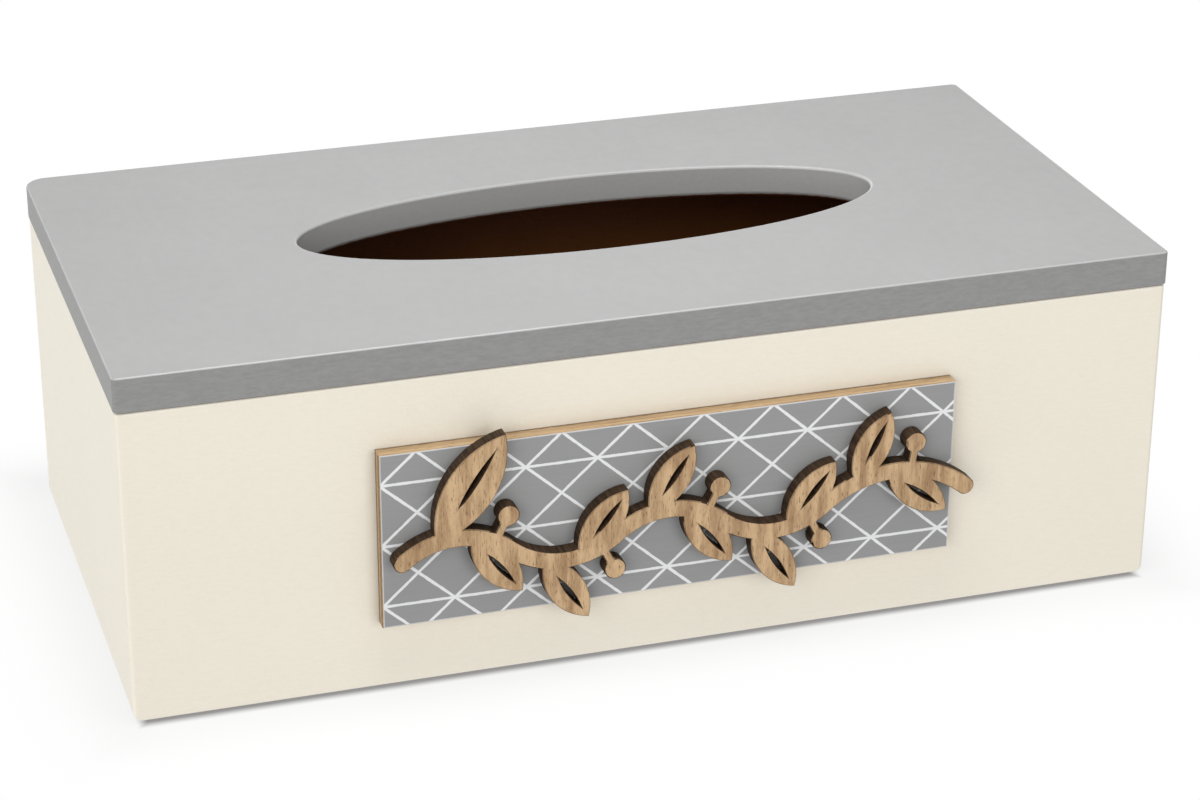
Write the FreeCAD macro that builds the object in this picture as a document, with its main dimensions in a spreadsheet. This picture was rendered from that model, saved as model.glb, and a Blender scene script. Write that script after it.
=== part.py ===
import FreeCAD, Part
import math
import os

import Sketcher

# Tissue box cover: a painted wooden box with a hinged, slotted lid and a plaque with a leaf ornament.
# Millimetres. X runs along the box, -Y is the front, +Z is up.
# The origin is the middle of the footprint, on the surface that the box stands on.

Vector = FreeCAD.Vector
X_AXIS = Vector(1, 0, 0)
Y_AXIS = Vector(0, 1, 0)
Z_AXIS = Vector(0, 0, 1)
SAME = 1e-6

doc = FreeCAD.newDocument("tissue_box_cover")

# Driving sizes, in millimetres and degrees
SIZES = (
    ("lid_length", 260, "lid, end to end"),
    ("lid_depth", 132, "lid, front to back"),
    ("lid_thickness", 8.7, "lid slab"),
    ("lid_overhang", 0.2, "how far the lid stands past the box on every side"),
    ("lid_edge_round", 0.5, "sanded edge along the lid's top and underside"),
    ("slot_length", 150.4, "oval slot, end to end"),
    ("slot_width", 50, "oval slot, front to back"),
    ("slot_shift_x", 2.9, "slot centre to the right of the middle"),
    ("slot_shift_y", 2, "slot centre behind the middle"),
    ("slot_rim_round", 0.7, "sanded rim of the slot in the lid's top"),
    ("slot_under_round", 1.5, "softer rim of the slot in the lid's underside"),
    ("box_height", 79, "walls, foot to top"),
    ("wall_thickness", 9, "walls"),
    ("wall_top_round", 0.5, "sanded edge along the top of the walls"),
    ("wall_foot_round", 0.6, "sanded edge along the foot of the walls"),
    ("end_foot_round", 2.8, "rounder foot of the box along its two ends"),
    ("front_corner_radius", 1.2, "upright front corners of box and lid"),
    ("back_left_radius", 5.6, "upright back left corner of box and lid"),
    ("back_right_radius", 1.6, "upright back right corner of box and lid"),
    ("corner_lap", 6.6, "lip of the long walls that covers the ends of the end walls"),
    ("seam_gap", 0.2, "open seam between box and lid"),
    ("base_thickness", 3, "base board"),
    ("base_proud", 0.6, "how far the base stands out below the walls"),
    ("base_seat", 4.5, "how far the base is let into the walls"),
    ("base_clearance", 0.15, "play around the base in its rebate"),
    ("plaque_length", 143.7, "plaque, end to end"),
    ("plaque_height", 45, "plaque, foot to top"),
    ("plaque_shift_x", 1.4, "plaque centre to the right of the middle"),
    ("plaque_middle", 40.5, "plaque centre above the floor"),
    ("board_thickness", 3.7, "plywood of the plaque"),
    ("board_edge_round", 0.3, "broken edge of the plywood's upright corners"),
    ("sheet_thickness", 0.3, "printed sheet on the plaque"),
    ("sheet_inset", 0.2, "edge of the sheet inside the plaque's edge"),
    ("sprig_thickness", 4, "plywood of the ornament"),
    ("stem_width", 4.4, "stem of the ornament"),
    ("stem_left", 67.7, "left end of the stem from the plaque's centre"),
    ("stem_drop", 4.2, "stem's middle line below the plaque's centre"),
    ("wave_chord", 26.2, "length of one bend of the stem"),
    ("tail_chord", 36.9, "length of the last bend, which passes the plaque's edge"),
    ("wave_angle", 40, "slope of the stem between two bends"),
    ("leaf_lean", 42, "angle between a leaf and the stem"),
    ("outer_leaf_at", 8.4, "leaf on the outside of a bend, from the start of the bend"),
    ("inner_leaf_at", 16.4, "leaf on the inside of a bend, from the start of the bend"),
    ("berry_at", 22, "berry on the outside of a bend, from the start of the bend"),
    ("leaf_length", 20, "leaf, stem to tip"),
    ("leaf_width", 9, "leaf, side to side"),
    ("first_leaf_length", 31, "first leaf, stem to tip"),
    ("first_leaf_width", 12.5, "first leaf, side to side"),
    ("vein_width", 1.2, "slit along the middle of a leaf"),
    ("berry_diameter", 5.4, "berry"),
    ("berry_reach", 7.2, "middle of a berry from the middle of the stem"),
    ("berry_stalk_width", 2, "stalk of a berry"),
    ("hinge_spacing", 150, "middle to middle of the two hinges"),
    ("hinge_length", 24, "hinge, along its pin"),
    ("hinge_setback", 2.6, "pin's middle in front of the box's back face"),
    ("leaf_plate_thickness", 0.9, "hinge plate"),
    ("leaf_plate_inset", 0.4, "hinge plate's edge behind the wall's inner face"),
    ("barrel_diameter", 4, "hinge barrel"),
    ("barrel_clearance", 0.3, "room around the barrel in the wood"),
    ("knuckle_gap", 0.2, "gap between two knuckles"),
    ("pin_diameter", 1.8, "hinge pin"),
    ("pin_clearance", 0.04, "running room around the pin"),
    ("seat_clearance", 0.1, "play around a hinge plate in its seat"),
    ("bevel_angle", 47, "slope of the bevels that meet when the lid stands open"),
    ("screw_spacing", 16, "middle to middle of the two screws in a plate"),
    ("screw_head_diameter", 3.2, "countersunk head"),
    ("screw_diameter", 1.6, "screw shank"),
    ("screw_length", 7, "screw, head to point"),
    ("screw_point", 1.5, "length of the screw's point"),
    ("screw_slot_width", 0.4, "driver slot"),
    ("screw_slot_depth", 0.4, "driver slot"),
    ("screw_clearance", 0.05, "play around a screw"),
    ("brad_diameter", 1.1, "brad shank"),
    ("brad_head_diameter", 1.8, "brad head"),
    ("brad_head_height", 0.5, "brad head"),
    ("brad_length", 16, "brad, head to point"),
    ("brad_point", 1.4, "length of the brad's point"),
    ("brad_clearance", 0.03, "play around a brad"),
    ("corner_brad_depth", 1.2, "filler and paint over a corner brad's head"),
    ("corner_brad_margin", 14, "outer corner brads from the foot and the top of the wall"),
    ("base_brad_depth", 0.1, "base brad's head below the base's underside"),
    ("base_brad_margin", 28, "outer base brads from the ends of their wall"),
)

# Places and sizes that follow from the driving sizes
PLACES = (
    ("box_length", "Size.lid_length - 2 * Size.lid_overhang"),
    ("box_depth", "Size.lid_depth - 2 * Size.lid_overhang"),
    ("inner_length", "box_length - 2 * Size.wall_thickness"),
    ("inner_depth", "box_depth - 2 * Size.wall_thickness"),
    ("wall_top", "Size.base_proud + Size.box_height"),
    ("lid_bottom", "wall_top + Size.seam_gap"),
    ("axis_y", "box_depth / 2 - Size.hinge_setback"),
    ("axis_z", "wall_top + Size.seam_gap / 2"),
    ("barrel_radius", "Size.barrel_diameter / 2"),
    ("pin_radius", "Size.pin_diameter / 2"),
    ("barrel_room", "barrel_radius + Size.barrel_clearance"),
    ("plate_reach", "Size.wall_thickness - Size.hinge_setback - Size.leaf_plate_inset"),
    ("knuckle_length", "(Size.hinge_length - 2 * Size.knuckle_gap) / 3"),
    ("tongue_end", "(barrel_radius + pin_radius) / 2"),
    ("screw_line", "(plate_reach + barrel_room) / 2"),
    ("screw_radius", "Size.screw_diameter / 2"),
    ("screw_head_radius", "Size.screw_head_diameter / 2"),
    ("screw_head_height", "screw_head_radius - screw_radius"),
    ("cutter_reach", "Size.lid_thickness + Size.wall_thickness"),
    ("board_front", "box_depth / 2 + Size.board_thickness"),
    ("sheet_front", "board_front + Size.sheet_thickness"),
)


def fill_sheet(name, rows):
    """A sheet with one named value a row: its name, its value and, where given, what it measures."""
    sheet = doc.addObject("Spreadsheet::Sheet", name)
    for number, (alias, value, *meaning) in enumerate(rows, start=1):
        sheet.set(f"A{number}", alias)
        sheet.set(f"B{number}", str(value))
        sheet.setAlias(f"B{number}", alias)
        sheet.set(f"C{number}", " ".join(meaning))
    return sheet


size = fill_sheet("Size", SIZES)
place = fill_sheet("Place", [(alias, f"={formula}") for alias, formula in PLACES])
doc.recompute()


def bind(item, formulas):
    """Ties properties of an item to formulas on the sheets."""
    for prop, formula in formulas.items():
        item.setExpression(prop, formula)
    return item


def put(item, x="0", y="0", z="0"):
    """Ties the place of an item to formulas on the sheets."""
    return bind(item, {"Placement.Base.x": x, "Placement.Base.y": y, "Placement.Base.z": z})


def block(name, length, width, height, x="0", y="0", z="0"):
    """A rectangular block; x, y and z are its lowest corner."""
    item = doc.addObject("Part::Box", name)
    bind(item, {"Length": length, "Width": width, "Height": height})
    return put(item, x, y, z)


def rod(name, radius, length, x="0", y="0", z="0", along=Z_AXIS):
    """A round rod from x, y, z along an axis."""
    item = doc.addObject("Part::Cylinder", name)
    bind(item, {"Radius": radius, "Height": length})
    item.Placement.Rotation = FreeCAD.Rotation(Z_AXIS, along)
    return put(item, x, y, z)


def taper(name, start_radius, end_radius, length, x="0", y="0", z="0"):
    """A round taper that rises from x, y, z."""
    item = doc.addObject("Part::Cone", name)
    bind(item, {"Radius1": start_radius, "Radius2": end_radius, "Height": length})
    return put(item, x, y, z)


def fuse(name, pieces):
    item = doc.addObject("Part::MultiFuse", name)
    item.Shapes = pieces
    item.Refine = True
    return item


def cut(name, base, tools):
    item = doc.addObject("Part::Cut", name)
    item.Base = base
    item.Tool = tools[0] if len(tools) == 1 else fuse(f"{name}_cutters", tools)
    item.Refine = True
    return item


def common(name, base, stock):
    item = doc.addObject("Part::Common", name)
    item.Base = base
    item.Tool = stock
    item.Refine = True
    return item


def shaped(name, shape):
    """An item whose shape is worked out from the sheets by this file's own functions."""
    item = doc.addObject("Part::Feature", name)
    item.Shape = shape
    return item


def sketch_on_floor(body, name):
    """An empty sketch on a body's own XY plane."""
    sketch = body.newObject("Sketcher::SketchObject", name)
    floor = next(plane for plane in body.Origin.OriginFeatures if plane.Role == "XY_Plane")
    sketch.AttachmentSupport = [(floor, "")]
    sketch.MapMode = "FlatFace"
    return sketch


def slab(name, length, width, height):
    """A body padded up from a rectangle that is centred on its origin."""
    body = doc.addObject("PartDesign::Body", name)
    sketch = sketch_on_floor(body, f"{name}_outline")
    corners = [Vector(-1, -1, 0), Vector(1, -1, 0), Vector(1, 1, 0), Vector(-1, 1, 0)]
    for index, corner in enumerate(corners):
        sketch.addGeometry(Part.LineSegment(corner, corners[(index + 1) % 4]))
    for index in range(4):
        sketch.addConstraint(Sketcher.Constraint("Coincident", index, 2, (index + 1) % 4, 1))
        sketch.addConstraint(Sketcher.Constraint("Vertical" if index % 2 else "Horizontal", index))
    sketch.addConstraint(Sketcher.Constraint("Symmetric", 0, 1, 1, 2, -1, 1))
    for edge, formula in ((0, length), (1, width)):
        drawn = sketch.Geometry[edge].length()
        number = sketch.addConstraint(Sketcher.Constraint("Distance", edge, drawn))
        sketch.setExpression(f"Constraints[{number}]", formula)
    pad = body.newObject("PartDesign::Pad", f"{name}_pad")
    pad.Profile = sketch
    pad.setExpression("Length", height)
    doc.recompute()
    return body


def round_edges(body, name, radius, chosen):
    """Rounds the edges of a body for which chosen(edge) is true."""
    base = body.Tip
    names = [f"Edge{n}" for n, edge in enumerate(base.Shape.Edges, start=1) if chosen(edge)]
    fillet = body.newObject("PartDesign::Fillet", f"{body.Name}_{name}")
    fillet.Base = (base, names)
    fillet.setExpression("Radius", radius)
    doc.recompute()


def is_upright(edge):
    box = edge.BoundBox
    return box.XLength < SAME and box.YLength < SAME


def at_height(edge, height):
    box = edge.BoundBox
    return abs(box.ZMin - height) < SAME and box.ZLength < SAME


def is_slot_rim(edge):
    """True for the edges of the slot, which keep clear of the lid's own edges."""
    clear = size.lid_depth / 2 - size.back_left_radius
    return -clear < edge.BoundBox.YMin and edge.BoundBox.YMax < clear


def round_upright_corners(body):
    """The upright corners that box and lid share: small in front, and rounder at the back left."""
    for name, radius, here in (
        ("front_corners", "Size.front_corner_radius", lambda box: box.YMax < 0),
        ("back_left_corner", "Size.back_left_radius", lambda box: box.YMin > 0 and box.XMax < 0),
        ("back_right_corner", "Size.back_right_radius", lambda box: box.YMin > 0 and box.XMin > 0),
    ):
        round_edges(body, name, radius, lambda edge: is_upright(edge) and here(edge.BoundBox))


# Hinges. Each is drawn about the middle of its pin and then set at its place on the back seam.
SIDES = (("left", -1), ("right", 1))
UP = 1
DOWN = -1


def hinge_place(item, sign):
    return put(item, f"{sign} * Size.hinge_spacing / 2", "Place.axis_y", "Place.axis_z")


def plate_bottom(direction):
    """Lower face of a hinge plate above (UP) or below (DOWN) the open seam."""
    if direction == UP:
        return "Size.seam_gap / 2"
    return "-Size.seam_gap / 2 - Size.leaf_plate_thickness"


def countersink(name, direction, sign):
    """Screw hole of a hinge plate, with the cone that takes the screw's head."""
    x = f"{sign} * Size.screw_spacing / 2"
    y = "-Place.screw_line"
    wide = "Place.screw_head_radius + Size.screw_clearance"
    narrow = "Place.screw_radius + Size.screw_clearance"
    shaft = rod(f"{name}_shaft", narrow, "Size.leaf_plate_thickness", x, y, plate_bottom(direction))
    if direction == UP:
        cone = taper(f"{name}_cone", wide, narrow, "Place.screw_head_height", x, y, "Size.seam_gap / 2")
    else:
        cone = taper(f"{name}_cone", narrow, wide, "Place.screw_head_height", x, y,
                     "-Size.seam_gap / 2 - Place.screw_head_height")
    return fuse(name, [shaft, cone])


def hinge_leaf(label, direction, side_sign, knuckle_starts):
    """A hinge plate with its knuckles: a flat plate, and a tongue and a barrel for each knuckle."""
    bottom = plate_bottom(direction)
    solids = [block(f"{label}_plate", "Size.hinge_length", "Place.plate_reach - Place.barrel_room",
                    "Size.leaf_plate_thickness", "-Size.hinge_length / 2", "-Place.plate_reach", bottom)]
    for number, start in enumerate(knuckle_starts):
        solids.append(rod(f"{label}_knuckle_{number}", "Place.barrel_radius", "Place.knuckle_length",
                          start, along=X_AXIS))
        solids.append(block(f"{label}_tongue_{number}", "Place.knuckle_length",
                            "Place.barrel_room - Place.tongue_end", "Size.leaf_plate_thickness",
                            start, "-Place.barrel_room", bottom))
    holes = [rod(f"{label}_pin_hole", "Place.pin_radius + Size.pin_clearance", "Size.hinge_length",
                 "-Size.hinge_length / 2", along=X_AXIS)]
    for sign in (-1, 1):
        holes.append(countersink(f"{label}_screw_hole_{sign + 1}", direction, sign))
    return hinge_place(cut(label, fuse(f"{label}_blank", solids), holes), side_sign)


def hinge_seat(name, direction, side_sign, reach):
    """Cutter for one hinge: the plate's shallow seat, room for the barrel, and the screws' pilot holes."""
    height = "Size.leaf_plate_thickness + Size.seam_gap / 2"
    low = "0" if direction == UP else f"-({height})"
    cutters = [
        block(f"{name}_plate", "Size.hinge_length + 2 * Size.seat_clearance", reach, height,
              "-Size.hinge_length / 2 - Size.seat_clearance", f"-({reach})", low),
        rod(f"{name}_barrel", "Place.barrel_room", "Size.hinge_length + 2 * Size.seat_clearance",
            "-Size.hinge_length / 2 - Size.seat_clearance", along=X_AXIS),
    ]
    pilot = "Size.screw_length + Size.screw_clearance"
    for sign in (-1, 1):
        start = "Size.seam_gap / 2" if direction == UP else f"-Size.seam_gap / 2 - ({pilot})"
        cutters.append(rod(f"{name}_pilot_{sign + 1}", "Place.screw_radius + Size.screw_clearance", pilot,
                           f"{sign} * Size.screw_spacing / 2", "-Place.screw_line", start))
    return hinge_place(fuse(name, cutters), side_sign)


def seam_bevel(name, direction):
    """Cutter for the bevel that runs along the back seam, from the pin's line to the back face."""
    item = block(name, "Size.lid_length + Place.cutter_reach", "Place.cutter_reach", "Place.cutter_reach",
                 "-(Size.lid_length + Place.cutter_reach) / 2", "Place.axis_y")
    item.Placement.Rotation = FreeCAD.Rotation(X_AXIS, 1)
    if direction == UP:
        return bind(item, {
            "Placement.Rotation.Angle": "Size.bevel_angle",
            "Placement.Base.y": "Place.axis_y + Place.cutter_reach * sin(Size.bevel_angle * 1deg)",
            "Placement.Base.z": "Place.lid_bottom - Place.cutter_reach * cos(Size.bevel_angle * 1deg)",
        })
    return bind(item, {"Placement.Rotation.Angle": "-Size.bevel_angle",
                       "Placement.Base.z": "Place.wall_top"})


outer_knuckles = ("-Size.hinge_length / 2", "Size.hinge_length / 2 - Place.knuckle_length")
middle_knuckle = ("-Place.knuckle_length / 2",)
nodes = []
for side, side_sign in SIDES:
    nodes.append(hinge_leaf(f"{side}_hinge_lid_leaf", UP, side_sign, middle_knuckle))
    nodes.append(hinge_leaf(f"{side}_hinge_box_leaf", DOWN, side_sign, outer_knuckles))
    pin = rod(f"{side}_hinge_pin", "Place.pin_radius", "Size.hinge_length", along=X_AXIS)
    put(pin, f"{side_sign} * Size.hinge_spacing / 2 - Size.hinge_length / 2", "Place.axis_y", "Place.axis_z")
    nodes.append(pin)


# Screws and brads: one of each is made, point downwards with its head at the origin, and then copied
group_counts = {}


def copies(label, shape, spots):
    """A group of loose copies of one shape, one for each placement in spots."""
    group_counts[label] = len(spots)
    return shaped(label, Part.makeCompound([shape.transformed(at.toMatrix(), True) for at in spots]))


def spot(x, y, z, axis=X_AXIS, angle=0):
    return FreeCAD.Placement(Vector(x, y, z), FreeCAD.Rotation(axis, angle))


screw_shank_length = "Size.screw_length - Place.screw_head_height - Size.screw_point"
screw_blank = fuse("screw_blank", [
    taper("screw_head", "Place.screw_radius", "Place.screw_head_radius", "Place.screw_head_height",
          z="-Place.screw_head_height"),
    rod("screw_shank", "Place.screw_radius", screw_shank_length, z="Size.screw_point - Size.screw_length"),
    taper("screw_tip", "0", "Place.screw_radius", "Size.screw_point", z="-Size.screw_length"),
])
slot_bar = ("2 * Place.screw_radius", "Size.screw_slot_width")
slot_low = ("-Place.screw_radius", "-Size.screw_slot_width / 2")
driver_slots = [
    block("screw_slot_x", slot_bar[0], slot_bar[1], "Size.screw_slot_depth",
          slot_low[0], slot_low[1], "-Size.screw_slot_depth"),
    block("screw_slot_y", slot_bar[1], slot_bar[0], "Size.screw_slot_depth",
          slot_low[1], slot_low[0], "-Size.screw_slot_depth"),
]
screw = cut("screw", screw_blank, driver_slots)
doc.recompute()

screw_x = [side * size.hinge_spacing / 2 + end * size.screw_spacing / 2 for _, side in SIDES
           for end in (-1, 1)]
screw_y = place.axis_y - place.screw_line
nodes.append(copies("lid_leaf_screws", screw.Shape,
                    [spot(x, screw_y, place.lid_bottom, X_AXIS, 180) for x in screw_x]))
nodes.append(copies("box_leaf_screws", screw.Shape, [spot(x, screw_y, place.wall_top) for x in screw_x]))


def brad_shape(play, cover):
    """A brad, or with some play and a cover the hole that takes it and its head."""
    shank_length = size.brad_length - size.brad_point
    head = Part.makeCylinder(size.brad_head_diameter / 2 + play, size.brad_head_height + cover + play,
                             Vector(0, 0, -size.brad_head_height - play))
    radius = size.brad_diameter / 2 + play
    shank = Part.makeCylinder(radius, shank_length, Vector(0, 0, -shank_length))
    point = Part.makeCone(0, radius, size.brad_point, Vector(0, 0, -size.brad_length))
    return head.fuse([shank, point]).removeSplitter()


def corner_brad_spots():
    """Three brads in each upright corner, driven through the long walls into the end walls."""
    x = place.box_length / 2 - size.wall_thickness / 2
    y = place.box_depth / 2 - size.corner_brad_depth
    lowest = size.base_proud + size.corner_brad_margin
    highest = place.wall_top - size.corner_brad_margin
    heights = (lowest, (lowest + highest) / 2, highest)
    return [spot(x_sign * x, y_sign * y, z, X_AXIS, -y_sign * 90)
            for x_sign in (-1, 1) for y_sign in (-1, 1) for z in heights]


def base_brad_spots():
    """Brads through the base into the walls: three along each long wall and two along each end wall."""
    x = place.inner_length / 2 + size.base_seat / 2
    y = place.inner_depth / 2 + size.base_seat / 2
    x_row = place.inner_length / 2 - size.base_brad_margin
    y_row = place.inner_depth / 2 - size.base_brad_margin
    z = size.base_brad_depth
    long_walls = [spot(step * x_row, side * y, z, X_AXIS, 180) for side in (-1, 1) for step in (-1, 0, 1)]
    end_walls = [spot(side * x, step * y_row, z, X_AXIS, 180) for side in (-1, 1) for step in (-1, 1)]
    return long_walls + end_walls


nodes.append(copies("corner_brads", brad_shape(0, 0), corner_brad_spots()))
nodes.append(copies("base_brads", brad_shape(0, 0), base_brad_spots()))
corner_brad_holes = copies("corner_brad_holes", brad_shape(size.brad_clearance, 0), corner_brad_spots())
base_brad_holes = copies("base_brad_holes", brad_shape(size.brad_clearance, size.base_brad_depth),
                         base_brad_spots())

# Lid: a sanded slab with an oval slot, seated on its hinges
lid = slab("lid_slab", "Size.lid_length", "Size.lid_depth", "Size.lid_thickness")
round_upright_corners(lid)
oval = sketch_on_floor(lid, "slot_outline")
oval.addGeometry(Part.Ellipse(Vector(size.slot_length / 2, 0, 0), Vector(0, size.slot_width / 2, 0),
                              Vector()))
oval.exposeInternalGeometry(0)
oval.addConstraint(Sketcher.Constraint("Horizontal", 1))
for what, alias in (
    (("Distance", 1), "slot_length"),
    (("Distance", 2), "slot_width"),
    (("DistanceX", -1, 1, 0, 3), "slot_shift_x"),
    (("DistanceY", -1, 1, 0, 3), "slot_shift_y"),
):
    number = oval.addConstraint(Sketcher.Constraint(*what, float(size.get(alias))))
    oval.setExpression(f"Constraints[{number}]", f"Size.{alias}")
slot = lid.newObject("PartDesign::Pocket", "slot")
slot.Profile = oval
slot.Type = "ThroughAll"
slot.Reversed = True
doc.recompute()
round_edges(lid, "outer_edges", "Size.lid_edge_round",
            lambda edge: (at_height(edge, 0) or at_height(edge, size.lid_thickness))
            and not is_slot_rim(edge))
for rim, radius, rim_height in (
    ("slot_rim", "Size.slot_rim_round", size.lid_thickness),
    ("slot_underside", "Size.slot_under_round", 0),
):
    round_edges(lid, rim, radius, lambda edge: is_slot_rim(edge) and at_height(edge, rim_height))
put(lid, z="Place.lid_bottom")
lid_seat_reach = "Place.plate_reach + Size.seat_clearance"
lid_cutters = [hinge_seat(f"{side}_lid_seat", UP, sign, lid_seat_reach) for side, sign in SIDES]
lid_cutters.append(seam_bevel("lid_bevel", UP))
nodes.append(cut("lid_panel", lid, lid_cutters))

# Walls: the box is sanded as one block, and each wall is its share of that block
box = slab("box_block", "Place.box_length", "Place.box_depth", "Size.box_height")
round_upright_corners(box)
round_edges(box, "top", "Size.wall_top_round", lambda edge: at_height(edge, size.box_height))
round_edges(box, "foot", "Size.wall_foot_round", lambda edge: at_height(edge, 0))
put(box, z="Size.base_proud")
base_rebate = block("base_rebate", "Place.inner_length + 2 * Size.base_seat",
                    "Place.inner_depth + 2 * Size.base_seat", "Size.base_thickness",
                    "-Place.inner_length / 2 - Size.base_seat", "-Place.inner_depth / 2 - Size.base_seat")


def end_foot_cutter(name, x_sign):
    """Cutter that rounds the foot along one end: a bar along the edge, less the round that stays."""
    middle = f"{x_sign} * (Place.box_length / 2 - Size.end_foot_round)"
    reach = "(Size.end_foot_round + Size.wall_thickness)"
    low = middle if x_sign > 0 else f"{middle} - {reach}"
    along = ("Place.box_depth + 2 * Size.wall_thickness", "-Place.box_depth / 2 - Size.wall_thickness")
    stock = block(f"{name}_bar", reach, along[0], "Size.base_proud + Size.end_foot_round", low, along[1])
    kept = rod(f"{name}_round", "Size.end_foot_round", along[0], middle, along[1],
               "Size.base_proud + Size.end_foot_round", Y_AXIS)
    return cut(name, stock, [kept])


def long_wall(label, y_sign, cutters):
    """A front or back wall: full thickness between the end walls, and a lip over each end wall's end."""
    edge = f"{y_sign} * Place.box_depth / 2"

    def strip(name, length, thickness):
        low = edge if y_sign < 0 else f"{edge} - {thickness}"
        return block(f"{label}_{name}", length, thickness, "Size.box_height", f"-{length} / 2", low,
                     "Size.base_proud")

    stock = fuse(f"{label}_stock", [
        strip("lips", "Place.box_length", "Size.corner_lap"),
        strip("middle", "Place.inner_length", "Size.wall_thickness"),
    ])
    return cut(label, common(f"{label}_blank", box, stock), cutters)


def end_wall(label, x_sign, cutters):
    """A left or right wall, whose ends sit behind the lips of the long walls."""
    low = "-Place.box_length / 2" if x_sign < 0 else "Place.box_length / 2 - Size.wall_thickness"
    stock = block(f"{label}_stock", "Size.wall_thickness", "Place.box_depth - 2 * Size.corner_lap",
                  "Size.box_height", low, "-Place.box_depth / 2 + Size.corner_lap", "Size.base_proud")
    return cut(label, common(f"{label}_blank", box, stock), cutters)


wall_seat_reach = "Place.plate_reach + Size.leaf_plate_inset + Size.seat_clearance"
wall_cutters = [hinge_seat(f"{side}_wall_seat", DOWN, sign, wall_seat_reach) for side, sign in SIDES]
wall_cutters.append(seam_bevel("wall_bevel", DOWN))
shared_cutters = [base_rebate, corner_brad_holes, base_brad_holes]
shared_cutters += [end_foot_cutter(f"{side}_end_foot", sign) for side, sign in SIDES]
nodes.append(long_wall("front_wall", -1, shared_cutters))
nodes.append(long_wall("back_wall", 1, shared_cutters + wall_cutters))
nodes.append(end_wall("left_end_wall", -1, shared_cutters))
nodes.append(end_wall("right_end_wall", 1, shared_cutters))

base_play = "2 * Size.base_seat - 2 * Size.base_clearance"
base = slab("base_board", f"Place.inner_length + {base_play}", f"Place.inner_depth + {base_play}",
            "Size.base_thickness")
nodes.append(cut("base_panel", base, [base_brad_holes]))

# Plaque: a plywood board on the front wall, with a printed sheet on its face
board = slab("plaque_board", "Size.plaque_length", "Size.board_thickness", "Size.plaque_height")
round_edges(board, "corners", "Size.board_edge_round", is_upright)
put(board, "Size.plaque_shift_x", "-Place.board_front + Size.board_thickness / 2",
    "Size.plaque_middle - Size.plaque_height / 2")
nodes.append(board)
sheet = slab("plaque_face_sheet", "Size.plaque_length - 2 * Size.sheet_inset", "Size.sheet_thickness",
             "Size.plaque_height - 2 * Size.sheet_inset")
put(sheet, "Size.plaque_shift_x", "-Place.sheet_front + Size.sheet_thickness / 2",
    "Size.plaque_middle - Size.plaque_height / 2 + Size.sheet_inset")
nodes.append(sheet)


# Ornament: a waving stem with leaves and berries, cut from one board.
# It is drawn flat about the plaque's centre and then stood up against the sheet.
EQUAL_BENDS = 4
VEIN_START = 0.32
VEIN_END = 0.82


def turned(angle, length):
    """A flat vector of a given length, at an angle in degrees from the stem's middle line."""
    return Vector(length * math.cos(math.radians(angle)), length * math.sin(math.radians(angle)), 0)


def prism(edges):
    return Part.Face(Part.Wire(edges)).extrude(Vector(0, 0, size.sprig_thickness))


def disc(centre, diameter):
    return Part.makeCylinder(diameter / 2, size.sprig_thickness, centre)


def lens(start, tip, width):
    """A pointed oval from start to tip, made of two arcs."""
    middle = (start + tip) * 0.5
    along = tip - start
    bulge = Vector(-along.y, along.x, 0).normalize() * (width / 2)
    return prism([
        Part.Arc(start, middle + bulge, tip).toShape(),
        Part.Arc(tip, middle - bulge, start).toShape(),
    ])


def bar(start, end, width):
    """A straight strip of wood from start to end."""
    along = end - start
    half = Vector(-along.y, along.x, 0).normalize() * (width / 2)
    corners = [start - half, end - half, end + half, start + half]
    return prism(Part.makePolygon(corners + corners[:1]).Edges)


class Bend:
    """One bend of the stem: an arc over a chord of the middle line, to its upper (1) or lower (-1) side."""

    def __init__(self, start, chord, side):
        self.start = start
        self.chord = chord
        self.side = side
        self.turn = 2 * size.wave_angle
        self.radius = chord / (2 * math.sin(math.radians(size.wave_angle)))
        self.end = start + Vector(chord, 0, 0)
        depth = self.radius * math.cos(math.radians(size.wave_angle))
        self.centre = (self.start + self.end) * 0.5 - Vector(0, side * depth, 0)

    def point(self, share, offset=0.0):
        """A point at a share of the bend, off the stem's middle towards the outside of the bend."""
        angle = self.side * (90 + size.wave_angle - share * self.turn)
        return self.centre + turned(angle, self.radius + offset)

    def heading(self, share):
        """The stem's direction at a share of the bend, in degrees."""
        return self.side * (size.wave_angle - share * self.turn)

    def solid(self):
        half = size.stem_width / 2
        outside = [self.point(share, half) for share in (0, 0.5, 1)]
        inside = [self.point(share, -half) for share in (1, 0.5, 0)]
        return prism([
            Part.Arc(*outside).toShape(),
            Part.makeLine(outside[2], inside[0]),
            Part.Arc(*inside).toShape(),
            Part.makeLine(inside[2], outside[0]),
        ])


def stem_bends():
    """Equal bends, up and down in turn, and a longer last one."""
    bends = []
    start = Vector(-size.stem_left, -size.stem_drop, 0)
    side = 1
    for chord in [size.wave_chord] * EQUAL_BENDS + [size.tail_chord]:
        bends.append(Bend(start, chord, side))
        start = bends[-1].end
        side = -side
    return bends


def leaf(bend, distance, side, length, width):
    """A leaf that grows from the middle of the stem, and the slit of its vein."""
    share = distance / bend.chord
    root = bend.point(share)
    reach = turned(bend.heading(share) + side * size.leaf_lean, length)
    blade = lens(root, root + reach, width)
    vein = lens(root + reach * VEIN_START, root + reach * VEIN_END, size.vein_width)
    return blade, vein


def berry(bend):
    """A berry on a short stalk, on the outside of a bend."""
    share = size.berry_at / bend.chord
    root = bend.point(share)
    centre = root + turned(bend.heading(share) + bend.side * 90, size.berry_reach)
    return bar(root, centre, size.berry_stalk_width).fuse(disc(centre, size.berry_diameter))


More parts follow.
